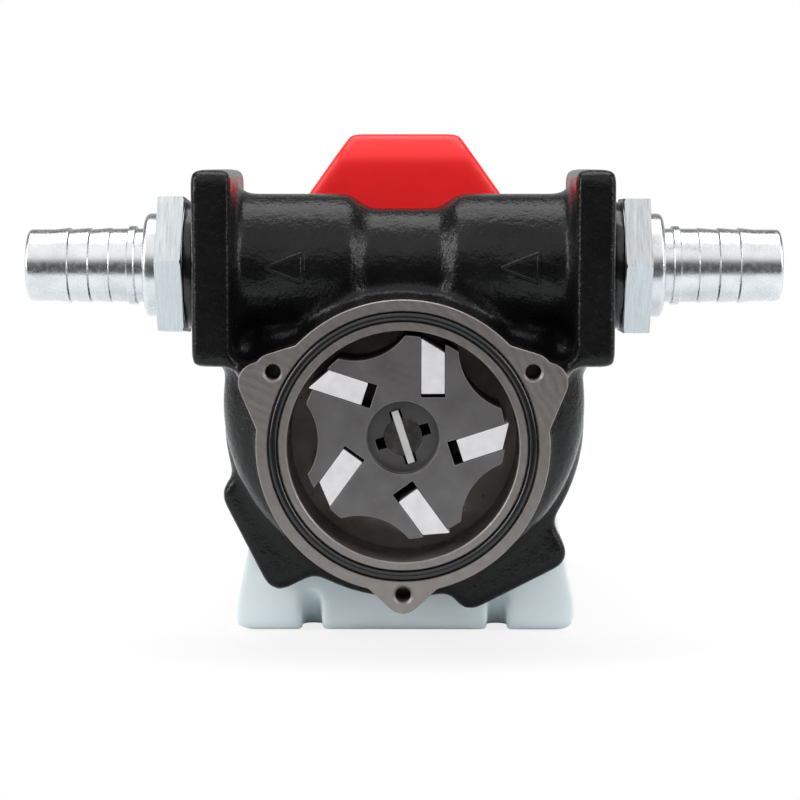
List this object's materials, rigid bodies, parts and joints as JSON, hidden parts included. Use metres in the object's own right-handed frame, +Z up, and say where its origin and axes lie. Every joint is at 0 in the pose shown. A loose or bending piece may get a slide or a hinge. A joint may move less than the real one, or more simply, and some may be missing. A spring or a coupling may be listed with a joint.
{
  "type": "diesel transfer pump",
  "caption": "Vane transfer pump on a cast body with hose tails at both sides, an electric motor, a steel bracket and a red carrying handle, shown with its front cover off.",
  "frame": {"origin": "centre of the four base holes, on the floor under the foot plate", "axes": "+Z up along the base holes; +X towards the inlet hose tail, along the line of the two ports; +Y from the open pump face back along the motor"},
  "size_m": [0.204, 0.1874, 0.1417],
  "materials": {
    "cast_body": "glossy black paint over a fine cast grain, machined faces left bare grey-brown",
    "rubber_black": "smooth black nitrile rubber with a soft sheen",
    "sintered_steel": "satin grey sintered steel with faint lapping swirls",
    "vane_polymer": "matt off-white filled polymer",
    "bright_steel": "bright zinc-plated steel",
    "ground_steel": "ground steel",
    "core_steel": "laminated steel, dull",
    "copper_wire": "varnished copper wire",
    "copper_bars": "turned copper",
    "ferrite": "dull dark ferrite",
    "motor_paint": "semi-gloss black paint",
    "holder_board": "brown resin board",
    "carbon": "matt carbon",
    "zinc_blue": "blue-white zinc plate, satin",
    "zinc_bright": "bright turned zinc-plated steel, brushed flats",
    "strainer_steel": "stainless steel mesh cup",
    "brass_valve": "turned brass",
    "red_plastic": "semi-gloss bright red moulded plastic",
    "black_plastic": "fine-grained black plastic",
    "rocker_plastic": null
  },
  "bodies": {
    "pump_body": {"pump_casting": "cast_body", "cover_o_ring": "rubber_black", "shaft_seal": "rubber_black", "front_bearing": "ground_steel", "rear_bearing": "ground_steel", "magnets": "ferrite", "motor_tube": "motor_paint", "motor_bell": "cast_body", "motor_end_cap": "motor_paint", "brush_holder": "holder_board", "brushes": "carbon", "brush_springs": "bright_steel", "motor_screws": "bright_steel", "tie_bolts": "bright_steel", "base_bracket": "zinc_blue", "inlet_tail": "zinc_bright", "outlet_tail": "zinc_bright", "port_seals": "rubber_black", "inlet_strainer": "strainer_steel", "bypass_spring": "bright_steel", "bypass_plug": "bright_steel", "handle_housing": "red_plastic", "handle_screws": "bright_steel", "switch_body": "black_plastic", "cable_gland": "black_plastic"},
    "rotor": {"rotor": "sintered_steel", "drive_blade": "bright_steel", "motor_shaft": "ground_steel", "armature_core": "core_steel", "windings": "copper_wire", "commutator": "copper_bars"},
    "vane_1": {"vane_1": "vane_polymer"},
    "vane_2": {"vane_2": "vane_polymer"},
    "vane_3": {"vane_3": "vane_polymer"},
    "vane_4": {"vane_4": "vane_polymer"},
    "vane_5": {"vane_5": "vane_polymer"},
    "bypass_poppet": {"bypass_poppet": "brass_valve"},
    "switch_rocker": {"switch_rocker": "rocker_plastic"}
  },
  "joints": [
    {"name": "rotor_spin", "type": "hinge", "parent": "pump_body", "child": "rotor", "pos_m": [0, -0.099, 0.062], "axis": [0, 1, 0], "continuous": true},
    {"name": "vane_1_slide", "type": "slide", "parent": "rotor", "child": "vane_1", "axis": [0, 0, 1], "range_m": [-0.00085, 0.00165]},
    {"name": "vane_2_slide", "type": "slide", "parent": "rotor", "child": "vane_2", "axis": [0.9511, 0, 0.309], "range_m": [-0.0024, 0.002]},
    {"name": "vane_3_slide", "type": "slide", "parent": "rotor", "child": "vane_3", "axis": [-0.5878, 0, 0.809], "range_m": [-0.0035, 0.0024]},
    {"name": "vane_4_slide", "type": "slide", "parent": "rotor", "child": "vane_4", "axis": [-0.5878, 0, -0.809], "range_m": [-0.00085, 0.00225]},
    {"name": "vane_5_slide", "type": "slide", "parent": "rotor", "child": "vane_5", "axis": [-0.9511, 0, 0.309], "range_m": [-0.0024, 0.0013]},
    {"name": "bypass_lift", "type": "slide", "parent": "pump_body", "child": "bypass_poppet", "axis": [1, 0, 0], "range_m": [0, 0.0025], "stiffness_N_per_m": 2000, "springref_m": -0.0045, "deforming": ["bypass_spring"]},
    {"name": "switch_rock", "type": "hinge", "parent": "pump_body", "child": "switch_rocker", "pos_m": [0, 0.0681, 0.1267], "axis": [1, 0, 0], "range_deg": [0, 22]}
  ]
}
